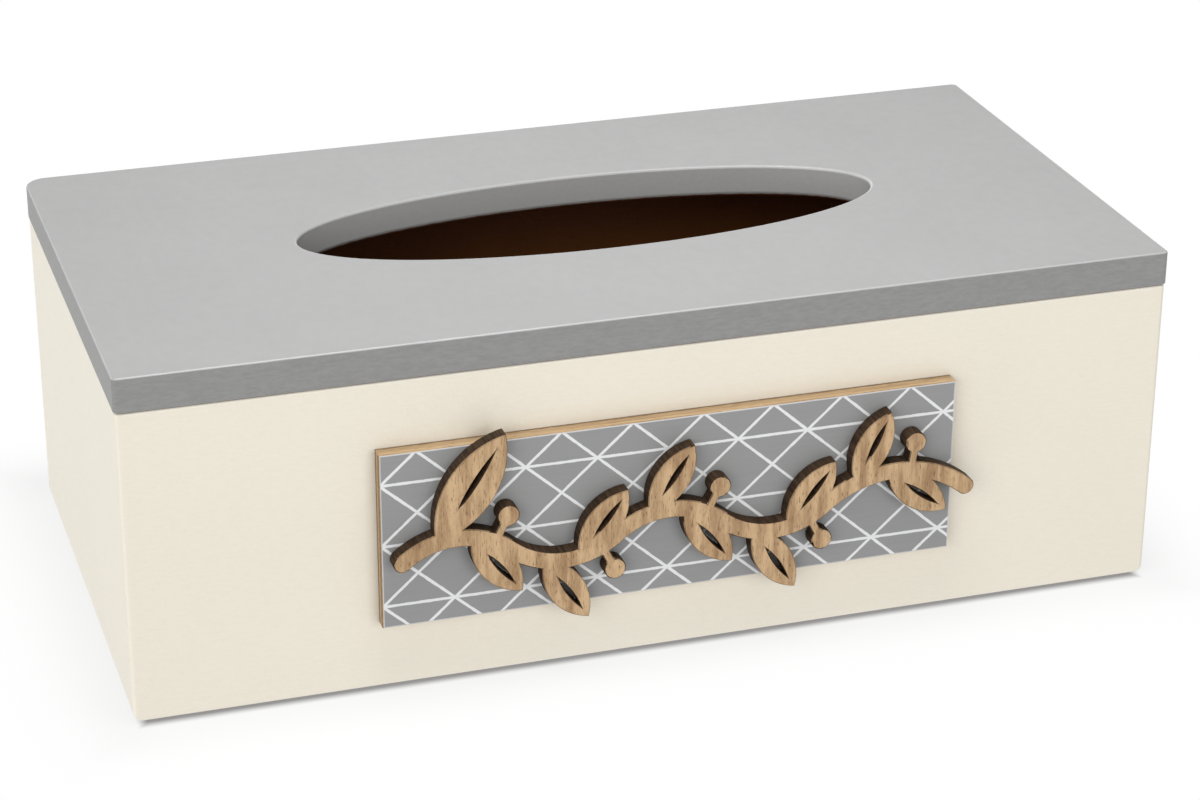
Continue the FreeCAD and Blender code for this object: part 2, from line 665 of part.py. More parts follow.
def sprig_shape():
    bends = stem_bends()
    wood = [bend.solid() for bend in bends]
    wood.append(disc(bends[0].start, size.stem_width))
    wood.append(disc(bends[-1].end, size.stem_width))
    veins = []
    outer_leaf = (size.first_leaf_length, size.first_leaf_width)
    other_leaf = (size.leaf_length, size.leaf_width)
    for bend in bends:
        pair = [
            leaf(bend, size.outer_leaf_at, bend.side, *outer_leaf),
            leaf(bend, size.inner_leaf_at, -bend.side, *other_leaf),
        ]
        wood.extend(blade for blade, _ in pair)
        veins.extend(vein for _, vein in pair)
        wood.append(berry(bend))
        outer_leaf = other_leaf
    return wood[0].fuse(wood[1:]).cut(veins).removeSplitter()


sprig = shaped("leaf_sprig", sprig_shape())
sprig.Placement = FreeCAD.Placement(Vector(size.plaque_shift_x, -place.sheet_front, size.plaque_middle),
                                    FreeCAD.Rotation(X_AXIS, 90))
nodes.append(sprig)

# Check every piece, then write one file for each
doc.recompute()
for item in doc.Objects:
    if "Invalid" in item.State or "Error" in item.State:
        raise RuntimeError(f"{item.Label} failed: {item.State}")
for node in nodes:
    if node.Shape.isNull() or not node.Shape.isValid():
        raise RuntimeError(f"{node.Label} has no valid shape")
    if len(node.Shape.Solids) != group_counts.get(node.Label, 1):
        raise RuntimeError(f"{node.Label} has {len(node.Shape.Solids)} solids")
os.makedirs("parts", exist_ok=True)
for node in nodes:
    node.Shape.exportStep(f"parts/{node.Label}.step")
    extent = node.Shape.optimalBoundingBox(False)
    print(f"{node.Label}: {extent.XLength:.2f} x {extent.YLength:.2f} x {extent.ZLength:.2f} mm, "
          f"{node.Shape.Volume:.1f} mm3")
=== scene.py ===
# %% [markdown]
# # A painted tissue box cover
#
# The real object is a small wooden box: cream painted walls, a grey lid with an oval slot, and a plaque
# on the front that carries a cut-out leaf sprig. Every shape comes from the CAD model, so this lesson is
# about looks: one finish at a time, and then a floor, soft light and a camera. One could model the box
# again with Blender's own tools, but then two models would have to be kept alike, so the CAD shapes stay.

# %% Load the CAD pieces
import math

import bpy
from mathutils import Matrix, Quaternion, Vector


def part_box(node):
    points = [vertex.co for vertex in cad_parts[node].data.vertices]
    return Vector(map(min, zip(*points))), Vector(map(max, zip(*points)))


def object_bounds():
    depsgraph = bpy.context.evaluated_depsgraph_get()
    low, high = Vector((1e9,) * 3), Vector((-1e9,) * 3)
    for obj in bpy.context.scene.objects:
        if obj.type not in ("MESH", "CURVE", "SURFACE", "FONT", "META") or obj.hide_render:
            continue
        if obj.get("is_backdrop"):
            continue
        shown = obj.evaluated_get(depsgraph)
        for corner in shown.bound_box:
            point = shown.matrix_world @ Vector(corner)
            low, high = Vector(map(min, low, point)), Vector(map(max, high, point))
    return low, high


MM = 0.001


def tenths(values):
    """Numbers rounded to tenths, for printing."""
    return [round(value, 1) for value in values]


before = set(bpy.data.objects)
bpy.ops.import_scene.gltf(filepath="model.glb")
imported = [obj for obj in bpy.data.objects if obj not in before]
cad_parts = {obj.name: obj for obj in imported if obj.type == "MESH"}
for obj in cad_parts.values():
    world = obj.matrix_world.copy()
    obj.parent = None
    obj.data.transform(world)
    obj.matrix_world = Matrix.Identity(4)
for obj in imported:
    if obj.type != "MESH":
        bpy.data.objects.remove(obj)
cad_low, cad_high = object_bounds()
print("pieces:", len(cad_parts), "box:", tenths((cad_high - cad_low) / MM), "mm")

# %% [markdown]
# ## Small tools that add nodes
#
# A finish is a tree of shader nodes. It can be drawn by hand in the node editor, but a script repeats
# itself less when it has a few short tools: one fills or links a socket, one adds a node, one does sums
# and one takes a vector apart. A plain number is set on its socket, and only what changes over the
# surface is linked.

# %% Tools that add nodes
VECTOR_MATH = "ShaderNodeVectorMath"


def plug(tree, socket, value):
    """Links another node's output to a socket, or sets a plain value on it."""
    if isinstance(value, bpy.types.NodeSocket):
        tree.links.new(value, socket)
    else:
        socket.default_value = value


def add(tree, kind, options=None, **inputs):
    """Adds a node with its options set and its inputs filled by name."""
    node = tree.nodes.new(kind)
    for name, value in (options or {}).items():
        setattr(node, name, value)
    for name, value in inputs.items():
        plug(tree, node.inputs[name], value)
    return node


def calc(tree, operation, *values, kind="ShaderNodeMath"):
    """A sum of numbers, or of vectors where the kind is VECTOR_MATH."""
    node = add(tree, kind, {"operation": operation})
    for socket, value in zip(node.inputs, values):
        plug(tree, socket, value)
    return node.outputs[0]


def split(tree, vector, axes):
    """The numbers of a vector along the named axes."""
    parts = add(tree, "ShaderNodeSeparateXYZ", Vector=vector).outputs
    return [parts[axis] for axis in axes]


print("tools: plug, add, calc, split")

# %% [markdown]
# ## Small tools that mix
#
# Most of a finish says where one look ends and the next begins. A hard step would show as a drawn line,
# so the fade tool goes smoothly from 0 to 1 between two values, and its result is the share with which
# the other tools mix two numbers or two colours.

# %% Tools that mix
def less(tree, value):
    """What is left of 1: the mask that shows where the given one doesn't."""
    return calc(tree, "SUBTRACT", 1.0, value)


def weigh(tree, share, first, second):
    """The first number where share is 0, the second where it is 1."""
    return calc(tree, "MULTIPLY_ADD", calc(tree, "SUBTRACT", second, first), share, first)


def blend(tree, share, first, second):
    """The first colour where share is 0, the second where it is 1."""
    # A Mix node has sockets for each kind of value: inputs 6 and 7 and output 2 are those for colours.
    node = add(tree, "ShaderNodeMix", {"data_type": "RGBA"})
    for number, value in ((0, share), (6, first), (7, second)):
        plug(tree, node.inputs[number], value)
    return node.outputs[2]


def fade(tree, value, start, end):
    """A smooth step: 0 at start and 1 at end, in either direction."""
    node = add(tree, "ShaderNodeMapRange", {"interpolation_type": "SMOOTHSTEP"}, Value=value)
    plug(tree, node.inputs["From Min"], start)
    plug(tree, node.inputs["From Max"], end)
    return node.outputs["Result"]


print("tools: less, weigh, blend, fade")

# %% [markdown]
# ## Where a point lies on the object
#
# Paint, grain and print belong to places on the wood. One could unwrap every piece and paint an image,
# but sawn boards are easier: the Object output of Texture Coordinate gives the point in the frame that
# the CAD uses, and it rides along when the lid turns. It is in metres, so it is scaled to millimetres
# once.

# %% Points and directions in millimetres
def point_mm(tree):
    """The shaded point in the object's own frame, in millimetres."""
    place = add(tree, "ShaderNodeTexCoord")
    return calc(tree, "MULTIPLY", place.outputs["Object"], (1 / MM,) * 3, kind=VECTOR_MATH)


def facing(tree, axis):
    """How squarely the surface faces along an axis of the object: 1 towards it, -1 away from it."""
    place = add(tree, "ShaderNodeTexCoord")
    return split(tree, place.outputs["Normal"], axis)[0]


def noise(tree, point, reach, detail=3.0, roughness=0.55):
    """Noise between 0 and 1 whose spots are about reach millimetres long on each axis."""
    spread = calc(tree, "DIVIDE", point, reach, kind=VECTOR_MATH)
    made = add(tree, "ShaderNodeTexNoise", Vector=spread, Scale=1.0, Detail=detail, Roughness=roughness)
    return made.outputs[0]


def box_mm(name):
    """Middle and half size of a CAD piece, in millimetres."""
    low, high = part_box(name)
    return tuple((low + high) / (2 * MM)), tuple((high - low) / (2 * MM))


print("lid, middle and half size in mm:", *[tenths(part) for part in box_mm("lid_panel")])

# %% [markdown]
# ## Effects that several finishes share
#
# Brushed paint, worn edges and raw board fibre each show up on more than one piece. Such an effect could
# be copied into every material, but a node group is built once and then placed with its own values, so
# that a later change reaches all of them. The first helpers make a group and place it.

# %% Node groups
NUMBER, VECTOR, COLOUR = "NodeSocketFloat", "NodeSocketVector", "NodeSocketColor"
POINT_INPUT = ("Point", VECTOR, (0, 0, 0))


def new_group(name, inputs, outputs):
    """An empty shader group with named sockets. Returns the tree, its inputs and its outputs."""
    tree = bpy.data.node_groups.new(name, "ShaderNodeTree")
    for title, kind, start in inputs:
        tree.interface.new_socket(title, in_out="INPUT", socket_type=kind).default_value = start
    for title, kind in outputs:
        tree.interface.new_socket(title, in_out="OUTPUT", socket_type=kind)
    return tree, tree.nodes.new("NodeGroupInput").outputs, tree.nodes.new("NodeGroupOutput").inputs


def place_group(tree, group, inputs):
    """Places a group in a material with its inputs filled by name, and returns its outputs."""
    return add(tree, "ShaderNodeGroup", {"node_tree": group}, **inputs).outputs


print("groups so far:", len(bpy.data.node_groups))

# %% [markdown]
# ## Brushed paint film
#
# The box was painted with a soft brush: short faint marks, slow cloudy changes of tone and a fine stipple
# that only shows in the highlights. Each could be a Wave or a Voronoi texture, but paint is irregular, so
# three noises do it: one drawn out along the stroke, one broad and one fine.

# %% Group: paint_film
CLOUD_REACH = (24, 24, 24)
STIPPLE_REACH = (0.55, 0.55, 0.55)

paint_film, given, out = new_group(
    "paint_film",
    [POINT_INPUT, ("Stroke reach", VECTOR, (3, 3, 0.7))],
    [("Stroke", NUMBER), ("Cloud", NUMBER), ("Stipple", NUMBER)],
)
strokes = noise(paint_film, given["Point"], given["Stroke reach"], detail=4.0, roughness=0.6)
plug(paint_film, out["Stroke"], strokes)
plug(paint_film, out["Cloud"], noise(paint_film, given["Point"], CLOUD_REACH, detail=2.0))
plug(paint_film, out["Stipple"], noise(paint_film, given["Point"], STIPPLE_REACH, detail=2.0))
print("paint_film:", len(paint_film.nodes), "nodes")

# %% [markdown]
# ## Pale edges
#
# Sanded edges hold less paint and are rubbed first, so they are a little paler than the faces. On the lid
# and the walls the pale edge is also a painted highlight, where the rounded edges catch the light. Cycles
# has a
# Bevel node for finding edges, but an exported model loses it. The pieces here are boxes, so an edge is
# where a point is close to two faces at once: the middle one of its three distances to the faces is
# small. The group also gives out how far a point lies in from the upright sides.

# %% Group: edge_band
BAND_WANDER_REACH = (9, 9, 9)
NARROWEST_BAND = 0.5

edge_band, given, out = new_group(
    "edge_band",
    [POINT_INPUT, ("Middle", VECTOR, (0, 0, 0)), ("Half size", VECTOR, (1, 1, 1)), ("Width", NUMBER, 1.0)],
    [("Edge share", NUMBER), ("Inset", NUMBER)],
)
from_middle = calc(edge_band, "SUBTRACT", given["Point"], given["Middle"], kind=VECTOR_MATH)
off_middle = calc(edge_band, "ABSOLUTE", from_middle, kind=VECTOR_MATH)
to_faces = calc(edge_band, "SUBTRACT", given["Half size"], off_middle, kind=VECTOR_MATH)
x_gap, y_gap, z_gap = split(edge_band, to_faces, "XYZ")
nearer = calc(edge_band, "MINIMUM", x_gap, y_gap)
farther = calc(edge_band, "MAXIMUM", x_gap, y_gap)
second_gap = calc(edge_band, "MAXIMUM", nearer, calc(edge_band, "MINIMUM", farther, z_gap))
band_wander = noise(edge_band, given["Point"], BAND_WANDER_REACH, detail=4.0)
band_width = calc(edge_band, "MULTIPLY", given["Width"], calc(edge_band, "ADD", band_wander, NARROWEST_BAND))
plug(edge_band, out["Edge share"], fade(edge_band, second_gap, band_width, 0.0))
plug(edge_band, out["Inset"], nearer)
print("edge_band:", len(edge_band.nodes), "nodes")

# %% [markdown]
# ## Raw board
#
# Inside, the box is bare brown board: pressed fibres with darker flecks. One could scatter thousands of
# tiny fibres, but at this size they read as noise at two scales. The group gives a colour, and a height
# for bumps.

# %% Group: raw_board
FIBRE_REACH = (3.2, 3.2, 0.5)
FLECK_REACH = (0.9, 0.9, 0.9)

raw_board, given, out = new_group(
    "raw_board",
    [POINT_INPUT, ("Light", COLOUR, (0.2, 0.1, 0.05, 1)), ("Dark", COLOUR, (0.1, 0.05, 0.02, 1))],
    [("Colour", COLOUR), ("Height", NUMBER)],
)
fibres = noise(raw_board, given["Point"], FIBRE_REACH, detail=5.0, roughness=0.65)
flecks = fade(raw_board, noise(raw_board, given["Point"], FLECK_REACH, detail=2.0), 0.55, 0.75)
fibre_colour = blend(raw_board, fibres, given["Light"], given["Dark"])
plug(raw_board, out["Colour"], blend(raw_board, flecks, fibre_colour, given["Dark"]))
plug(raw_board, out["Height"], calc(raw_board, "SUBTRACT", fibres, flecks))
print("raw_board:", len(raw_board.nodes), "nodes")

# %% [markdown]
# ## Wood grain
#
# Plywood and the sprig's veneer both show grain: long fibres, broad bands of early and late wood, and
# short dark pores. A Wave texture draws rings, which suits a plank's end, but thin veneer shows nearly
# straight lines, so stretched noise is closer. The reach says which way the fibres run.

# %% Group: wood_grain
PORE_DEPTH = 0.75

wood_grain, given, out = new_group(
    "wood_grain",
    [POINT_INPUT, ("Fibre reach", VECTOR, (1, 1, 14)), ("Pore reach", VECTOR, (0.3, 0.3, 4)),
     ("Light", COLOUR, (0.5, 0.35, 0.2, 1)), ("Dark", COLOUR, (0.3, 0.2, 0.1, 1)),
     ("Pore", COLOUR, (0.1, 0.06, 0.03, 1))],
    [("Colour", COLOUR), ("Height", NUMBER)],
)
fibres = noise(wood_grain, given["Point"], given["Fibre reach"], detail=5.0, roughness=0.62)
pores = fade(wood_grain, noise(wood_grain, given["Point"], given["Pore reach"]), 0.56, 0.70)
banded = blend(wood_grain, fade(wood_grain, fibres, 0.34, 0.68), given["Light"], given["Dark"])
pore_tone = calc(wood_grain, "MULTIPLY", pores, PORE_DEPTH)
plug(wood_grain, out["Colour"], blend(wood_grain, pore_tone, banded, given["Pore"]))
plug(wood_grain, out["Height"], calc(wood_grain, "SUBTRACT", fibres, pores))
print("wood_grain:", len(wood_grain.nodes), "nodes")

# %% [markdown]
# ## From a tree to a dressed piece
#
# Each finish ends in a Principled shader. Diffuse and Glossy shaders could be mixed by hand instead, but
# Principled covers wood, paint, paper and metal alike, and an exported model keeps it. Three more helpers
# start a finish, turn a height into bumps and put the finish on CAD pieces: only the material in the
# piece's slot changes, never its mesh.

# %% Start a finish, and dress a piece with it
WOOD_IOR, PAINT_IOR = 1.45, 1.48


def new_finish(name, **constants):
    """A material with a Principled shader. The constants are values that are the same all over."""
    material = bpy.data.materials.new(name)
    material.use_nodes = True
    tree = material.node_tree
    tree.nodes.clear()
    shader = add(tree, "ShaderNodeBsdfPrincipled")
    for title, value in constants.items():
        shader.inputs[title.replace("_", " ")].default_value = value
    surface = add(tree, "ShaderNodeOutputMaterial")
    tree.links.new(shader.outputs[0], surface.inputs["Surface"])
    return material, tree, shader.inputs


def bump(tree, height, depth_mm):
    """A normal that tilts as if the surface rose and fell by depth_mm."""
    made = add(tree, "ShaderNodeBump", Height=height, Strength=1.0, Distance=depth_mm * MM)
    return made.outputs["Normal"]


def dress(material, *names):
    """Puts a material on CAD pieces."""
    for name in names:
        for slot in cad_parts[name].material_slots:
            slot.material = material
    print(material.name, "on", ", ".join(names))


print("helpers: new_finish, bump, dress")

# %% [markdown]
# ## The slot in the lid
#
# The lid's finish changes around its slot, so the slot has to be known. Its size could be written down
# here once more, but then it could go wrong when the CAD changes. The points of the lid's mesh that lie
# on top and well inside its outline are the slot's rim, and their reach, less the rim's rounding, gives
# the slot.

# %% Measure the slot
SLOT_INSET = 20.0
SLOT_ROUNDING = 0.7
NEARLY = 0.01

lid_middle, lid_half = box_mm("lid_panel")
lid_top = lid_middle[2] + lid_half[2]
rim_spots = []
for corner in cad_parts["lid_panel"].data.vertices:
    spot = corner.co / MM
    inside_x = abs(spot.x - lid_middle[0]) < lid_half[0] - SLOT_INSET
    inside_y = abs(spot.y - lid_middle[1]) < lid_half[1] - SLOT_INSET
    if inside_x and inside_y and spot.z > lid_top - NEARLY:
        rim_spots.append(spot)
slot_middle, slot_half = [], []
for axis in (0, 1):
    along = [spot[axis] for spot in rim_spots]
    slot_middle.append((max(along) + min(along)) / 2)
    slot_half.append((max(along) - min(along)) / 2 - SLOT_ROUNDING)
print("slot, middle and half size in mm:", tenths(slot_middle), tenths(slot_half))

# %% [markdown]
# ## Places on the lid
#
# The lid is a slab of fibreboard in satin grey. Its sawn sides drink paint, its slot is cut through the
# board, its rims are sanded, and underneath it is raw. Each place could have a material of its own on its
# own set of faces, but masks in one tree keep the lid in one piece. A point belongs to a sawn side when
# its surface stands upright at the outline, to the slot when it stands upright elsewhere, and to the raw
# underside when it looks down. The slot's rim is paler, partly from sanding and partly as a painted
# highlight, which is painted stronger on the near side than on the far side.

# %% Lid: masks
LID_EDGE_WIDTH = 0.5
SAWN_REACH = 4.0
PAINT_WRAP = 0.5
RIM_WIDTH, RIM_DEPTH = 0.9, 1.0
RIM_FULL = 0.2
NEAR_SIDE_REACH = 8.0
FAR_RIM_WEAR_AND_HIGHLIGHT, NEAR_RIM_WEAR_AND_HIGHLIGHT = 0.3, 1.8


def length_of(tree, vector):
    """The length of a vector."""
    return add(tree, VECTOR_MATH, {"operation": "LENGTH"}, Vector=vector).outputs["Value"]


def past_oval(tree, point, middle, half):
    """About how far a point lies outside an oval that is seen from above, in millimetres."""
    shrink = (1 / half[0], 1 / half[1], 0)
    from_middle = calc(tree, "SUBTRACT", point, (*middle, 0), kind=VECTOR_MATH)
    in_halves = calc(tree, "MULTIPLY", from_middle, shrink, kind=VECTOR_MATH)
    steepness = length_of(tree, calc(tree, "MULTIPLY", in_halves, shrink, kind=VECTOR_MATH))
    reach = length_of(tree, in_halves)
    past = calc(tree, "MULTIPLY", calc(tree, "SUBTRACT", reach, 1.0), reach)
    return calc(tree, "DIVIDE", past, steepness)


grey_lid_paint, tree, lid_inputs = new_finish("grey_lid_paint", IOR=PAINT_IOR)
point = point_mm(tree)
y, z = split(tree, point, "YZ")
edges = place_group(tree, edge_band, {
    "Point": point, "Middle": lid_middle, "Half size": lid_half, "Width": LID_EDGE_WIDTH,
})
upright = fade(tree, calc(tree, "ABSOLUTE", facing(tree, "Z")), 0.6, 0.2)
at_outline = fade(tree, edges["Inset"], SAWN_REACH + 1, SAWN_REACH)
sawn_side = calc(tree, "MULTIPLY", upright, at_outline)
slot_side = calc(tree, "MULTIPLY", upright, less(tree, at_outline))
# Paint wraps round the lower edge of the outline, so a face there has to look further down to be raw.
looks_down = calc(tree, "MULTIPLY_ADD", at_outline, PAINT_WRAP, facing(tree, "Z"))
raw_side = fade(tree, looks_down, -0.3, -0.6)
beside_slot = fade(tree, past_oval(tree, point, slot_middle, slot_half), RIM_WIDTH, RIM_FULL)
near_top = fade(tree, z, lid_top - RIM_DEPTH, lid_top - RIM_FULL)
# Painted highlight: the slot's rim is made paler on the near side than on the far side.
near_side = fade(tree, y, slot_middle[1] + NEAR_SIDE_REACH, slot_middle[1] - NEAR_SIDE_REACH)
rim_share = weigh(tree, near_side, FAR_RIM_WEAR_AND_HIGHLIGHT, NEAR_RIM_WEAR_AND_HIGHLIGHT)
slot_rim = calc(tree, "MULTIPLY", calc(tree, "MULTIPLY", beside_slot, near_top), rim_share)
upper_half = fade(tree, z, lid_middle[2] - 1, lid_middle[2] + 1)
worn_and_highlit_rims = calc(tree, "MAXIMUM", calc(tree, "MULTIPLY", edges["Edge share"], upper_half), slot_rim)
print("lid masks:", len(tree.nodes), "nodes so far")

# %% [markdown]
# ## Grey paint on the lid
#
# Now the places get their colours. The top is a cloudy grey with faint brush marks. The sawn sides dry
# darker and duller, with streaks along the board, the slot's wall shows a fine grain, and the rims are
# paler, partly from sanding and partly as a painted highlight. One grey with more or less light on it
# would be simpler, but the real paint differs from place to place.

# %% Finish: grey_lid_paint
LID_GREY = (0.362, 0.362, 0.360, 1)
LID_GREY_DEEP = (0.302, 0.302, 0.300, 1)
LID_GREY_SAWN = (0.264, 0.263, 0.260, 1)
LID_GREY_STREAK = (0.224, 0.223, 0.220, 1)
LID_GREY_WORN_AND_HIGHLIT = (0.520, 0.520, 0.515, 1)
SLOT_LIGHT = (0.362, 0.360, 0.355, 1)
SLOT_DARK = (0.290, 0.288, 0.283, 1)
# The raw board colours are far darker than bare board: painted shade for the dim inside of the box and
# under the lid.
SHADED_BOARD_LIGHT = (0.115, 0.028, 0.000, 1)
SHADED_BOARD_DARK = (0.050, 0.011, 0.000, 1)
LID_STROKE_REACH = (3.0, 4.2, 2.4)
STREAK_REACH = (2.6, 2.6, 0.7)
SLOT_GRAIN_REACH = (1.1, 1.1, 0.6)
LID_STROKE_SHARE = 0.5
LID_WEAR_AND_HIGHLIGHT_SHARE = 0.7
STROKE_ROUGHNESS, LID_ROUGHNESS, SAWN_ROUGHNESS = 0.12, 0.32, 0.14
STIPPLE_HEIGHT = 0.4
LID_BUMP = 0.022

film = place_group(tree, paint_film, {"Point": point, "Stroke reach": LID_STROKE_REACH})
tone = weigh(tree, LID_STROKE_SHARE, film["Cloud"], film["Stroke"])
top_colour = blend(tree, tone, LID_GREY, LID_GREY_DEEP)
streaks = fade(tree, noise(tree, point, STREAK_REACH, detail=5.0, roughness=0.7), 0.3, 0.7)
sawn_colour = blend(tree, streaks, LID_GREY_SAWN, LID_GREY_STREAK)
slot_grain = noise(tree, point, SLOT_GRAIN_REACH, detail=4.0, roughness=0.7)
slot_colour = blend(tree, slot_grain, SLOT_LIGHT, SLOT_DARK)
grey = blend(tree, slot_side, blend(tree, sawn_side, top_colour, sawn_colour), slot_colour)
# Pale rims: partly wear, partly a painted highlight.
grey = blend(tree, calc(tree, "MULTIPLY", worn_and_highlit_rims, LID_WEAR_AND_HIGHLIGHT_SHARE), grey, LID_GREY_WORN_AND_HIGHLIT)
raw = place_group(tree, raw_board, {"Point": point, "Light": SHADED_BOARD_LIGHT, "Dark": SHADED_BOARD_DARK})
plug(tree, lid_inputs["Base Color"], blend(tree, raw_side, grey, raw["Colour"]))
brushed = calc(tree, "MULTIPLY_ADD", film["Stroke"], STROKE_ROUGHNESS, LID_ROUGHNESS)
dull = calc(tree, "MAXIMUM", sawn_side, raw_side)
plug(tree, lid_inputs["Roughness"], calc(tree, "MULTIPLY_ADD", dull, SAWN_ROUGHNESS, brushed))
film_height = weigh(tree, STIPPLE_HEIGHT, film["Stroke"], film["Stipple"])
plug(tree, lid_inputs["Normal"], bump(tree, film_height, LID_BUMP))
dress(grey_lid_paint, "lid_panel")

# %% [markdown]
# ## Places on the walls
#
# The walls are cream outside and bare brown board inside. They could have two materials each, but the CAD
# faces carry no such split, so a mask does it: a point is painted when it lies beyond the inner faces of
# the box, and the paint's edge runs a little unevenly. The underside of the walls was never painted,
# which the direction of the surface tells. Lower down, the inside is painted paler: painted light, where
# light through the slot falls on the walls.

# %% Walls: masks
WALL_STROKE_REACH = (3.0, 3.0, 0.7)
WALL_EDGE_WIDTH = 0.7
PAINT_RUN = 0.8
LIT_INSIDE_TOP, LIT_INSIDE_BELOW = 70, 52
LIT_INSIDE_WANDER = 8.0

front_low, front_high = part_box("front_wall")
left_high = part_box("left_end_wall")[1]
inner_half = (-left_high.x / MM, -front_high.y / MM)
box_middle = (0, 0, (front_low.z + front_high.z) / (2 * MM))
box_half = (front_high.x / MM, -front_low.y / MM, (front_high.z - front_low.z) / (2 * MM))


def past_sides(tree, point, half):
    """How far a point lies outside an upright box around the middle, in millimetres."""
    x, y = split(tree, point, "XY")
    past_x = calc(tree, "SUBTRACT", calc(tree, "ABSOLUTE", x), half[0])
    past_y = calc(tree, "SUBTRACT", calc(tree, "ABSOLUTE", y), half[1])
    return calc(tree, "MAXIMUM", past_x, past_y)


cream_box_paint, tree, wall_inputs = new_finish("cream_box_paint", IOR=PAINT_IOR)
point = point_mm(tree)
film = place_group(tree, paint_film, {"Point": point, "Stroke reach": WALL_STROKE_REACH})
edges = place_group(tree, edge_band, {
    "Point": point, "Middle": box_middle, "Half size": box_half, "Width": WALL_EDGE_WIDTH,
})
paint_run = calc(tree, "MULTIPLY", film["Cloud"], PAINT_RUN)
outside = fade(tree, calc(tree, "SUBTRACT", past_sides(tree, point, inner_half), paint_run), 0.0, 0.1)
underside = fade(tree, facing(tree, "Z"), -0.8, -0.95)
painted = calc(tree, "MULTIPLY", outside, less(tree, underside))
z = split(tree, point, "Z")[0]
# Painted light: the inside walls turn paler lower down, where light through the slot falls on them.
uneven_height = calc(tree, "MULTIPLY_ADD", film["Cloud"], LIT_INSIDE_WANDER, z)
painted_inside_light = fade(tree, uneven_height, LIT_INSIDE_TOP, LIT_INSIDE_BELOW)
print("inside of the box:", tenths(2 * side for side in inner_half), "mm")

# %% [markdown]
# ## Cream paint on the walls
#
# The brush ran along each wall, so its marks are longer in X and Y than in Z. They change the colour and
# the gloss a little, and the film's height for the bump. A stronger bump would show more, but satin paint
# levels out while it dries, and only the raw board inside is rough.

# %% Finish: cream_box_paint
CREAM = (0.842, 0.788, 0.676, 1)
CREAM_DEEP = (0.756, 0.705, 0.600, 1)
CREAM_WORN_AND_HIGHLIT = (0.900, 0.865, 0.770, 1)
BOARD_PAINTED_LIT = (0.200, 0.070, 0.008, 1)
CREAM_STROKE_SHARE = 0.75
CREAM_WEAR_AND_HIGHLIGHT_SHARE = 0.6
WALL_ROUGHNESS, BARE_ROUGHNESS = 0.38, 0.35
WALL_BUMP = 0.035

tone = weigh(tree, CREAM_STROKE_SHARE, film["Cloud"], film["Stroke"])
# The pale edges of the walls are partly wear and partly a painted highlight.
worn_and_highlit_rims = calc(tree, "MULTIPLY", edges["Edge share"], CREAM_WEAR_AND_HIGHLIGHT_SHARE)
cream = blend(tree, worn_and_highlit_rims, blend(tree, tone, CREAM, CREAM_DEEP), CREAM_WORN_AND_HIGHLIT)
raw = place_group(tree, raw_board, {"Point": point, "Light": SHADED_BOARD_LIGHT, "Dark": SHADED_BOARD_DARK})
# Painted light: paler board lower down inside the box.
board = blend(tree, painted_inside_light, raw["Colour"], BOARD_PAINTED_LIT)
plug(tree, wall_inputs["Base Color"], blend(tree, painted, board, cream))
brushed = calc(tree, "MULTIPLY_ADD", film["Stroke"], STROKE_ROUGHNESS, WALL_ROUGHNESS)
roughness = calc(tree, "MULTIPLY_ADD", less(tree, painted), BARE_ROUGHNESS, brushed)
plug(tree, wall_inputs["Roughness"], roughness)
film_height = weigh(tree, STIPPLE_HEIGHT, film["Stroke"], film["Stipple"])
height = calc(tree, "MULTIPLY_ADD", film_height, painted, raw["Height"])
plug(tree, wall_inputs["Normal"], bump(tree, height, WALL_BUMP))
dress(cream_box_paint, "front_wall", "back_wall", "left_end_wall", "right_end_wall")

# %% [markdown]
# ## The base
#
# The base is a thin hardboard: brown and smooth on top, and marked underneath by the wire screen on which
# it was pressed. The screen could be modelled as a mesh of wires, but the dents are only a tenth of a
# millimetre deep, so two crossed waves in the bump are enough.

# %% Finish: base_hardboard
HARDBOARD_LIGHT = (0.170, 0.074, 0.028, 1)
HARDBOARD_DARK = (0.100, 0.042, 0.015, 1)
SCREEN_PITCH = 1.6
DENT_TONE = 0.5
HARDBOARD_ROUGHNESS, SCREEN_ROUGHNESS = 0.55, 0.2
HARDBOARD_BUMP = 0.08

base_hardboard, tree, inputs = new_finish("base_hardboard", IOR=WOOD_IOR)
point = point_mm(tree)
raw = place_group(tree, raw_board, {"Point": point, "Light": HARDBOARD_LIGHT, "Dark": HARDBOARD_DARK})
turns = [calc(tree, "MULTIPLY", side, 2 * math.pi / SCREEN_PITCH) for side in split(tree, point, "XY")]
waves = [calc(tree, "SINE", turn) for turn in turns]
below = fade(tree, facing(tree, "Z"), -0.5, -0.9)
screen_dents = calc(tree, "MULTIPLY", calc(tree, "MULTIPLY", *waves), below)
dent_share = calc(tree, "MULTIPLY", fade(tree, screen_dents, 0.2, -0.8), below)
dent_tone = calc(tree, "MULTIPLY", dent_share, DENT_TONE)
plug(tree, inputs["Base Color"], blend(tree, dent_tone, raw["Colour"], HARDBOARD_DARK))
plug(tree, inputs["Roughness"], calc(tree, "MULTIPLY_ADD", below, SCREEN_ROUGHNESS, HARDBOARD_ROUGHNESS))
plug(tree, inputs["Normal"], bump(tree, calc(tree, "ADD", screen_dents, raw["Height"]), HARDBOARD_BUMP))
dress(base_hardboard, "base_panel")

# %% [markdown]
# ## Plies of the plaque
#
# The plaque is a thin plywood board of three plies with crossed grain. Where a ply's fibres run along the
# edge it is pale, and where they end there it is dark, so the top edge shows a faint core and the left
# edge shows dark outer plies. Three boards could be modelled, but they are glued into one, so the depth
# from the wall says which ply a point is in, and the direction of the surface says which plies end there.
# Against the wall runs a ragged dark line, painted shade in the gap between the board and the wall.

